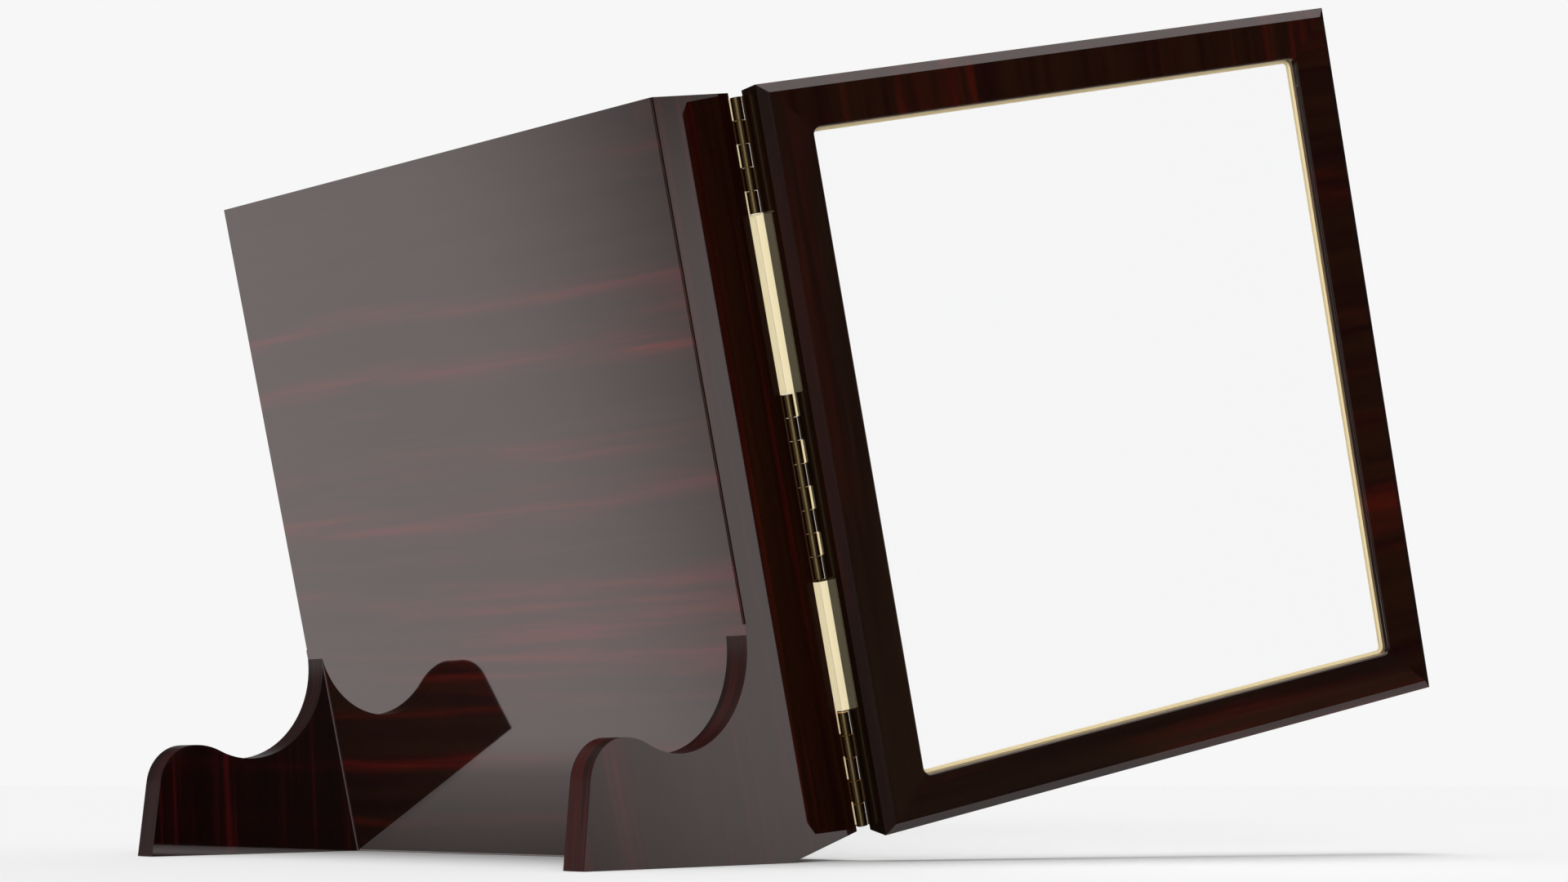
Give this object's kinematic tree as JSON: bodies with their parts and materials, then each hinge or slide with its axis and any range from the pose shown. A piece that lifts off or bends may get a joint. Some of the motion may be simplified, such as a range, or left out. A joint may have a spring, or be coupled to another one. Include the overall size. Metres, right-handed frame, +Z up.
{
  "type": "folded flag display case",
  "caption": "Leaning display case on scroll-footed side boards, with a glazed door on a full-height stop hinge.",
  "frame": {"origin": "middle of the flat strip under the back panel, where the case stands on its trimmed back corner", "axes": "+Z up, -Y towards the front, +X towards the door's closing side"},
  "size_m": [0.5627, 0.5158, 0.4916],
  "materials": {
    "lacquered_wood": "clear gloss lacquer over dark streaked mahogany",
    "felt": "dark felt",
    "dowel_wood": "plain beech",
    "brass": "polished",
    "magnet_steel": "nickel plated",
    "glass": "clear float glass"
  },
  "bodies": {
    "case": {"side_board_hinge": "lacquered_wood", "side_board_free": "lacquered_wood", "top_board": "lacquered_wood", "bottom_board": "lacquered_wood", "back_panel": "lacquered_wood", "back_lining": "felt", "case_dowels": "dowel_wood", "hinge_leaf_case": "brass", "leaf_screws_case": "brass", "pin_top": "brass", "pin_middle": "brass", "pin_bottom": "brass", "magnet_catches": "magnet_steel"},
    "door": {"door_stile_hinge": "lacquered_wood", "door_stile_free": "lacquered_wood", "door_rail_top": "lacquered_wood", "door_rail_bottom": "lacquered_wood", "window_liner": "brass", "glass_pane": "glass", "bead_top": "lacquered_wood", "bead_bottom": "lacquered_wood", "bead_hinge": "lacquered_wood", "bead_free": "lacquered_wood", "hinge_leaf_door": "brass", "leaf_screws_door": "brass", "strike_plates": "magnet_steel"}
  },
  "joints": [
    {"name": "door_hinge", "type": "hinge", "parent": "case", "child": "door", "pos_m": [-0.1837, -0.00386, 0.21111], "axis": [0, 0.2689, 0.9632], "range_deg": [0, 119.5]}
  ]
}
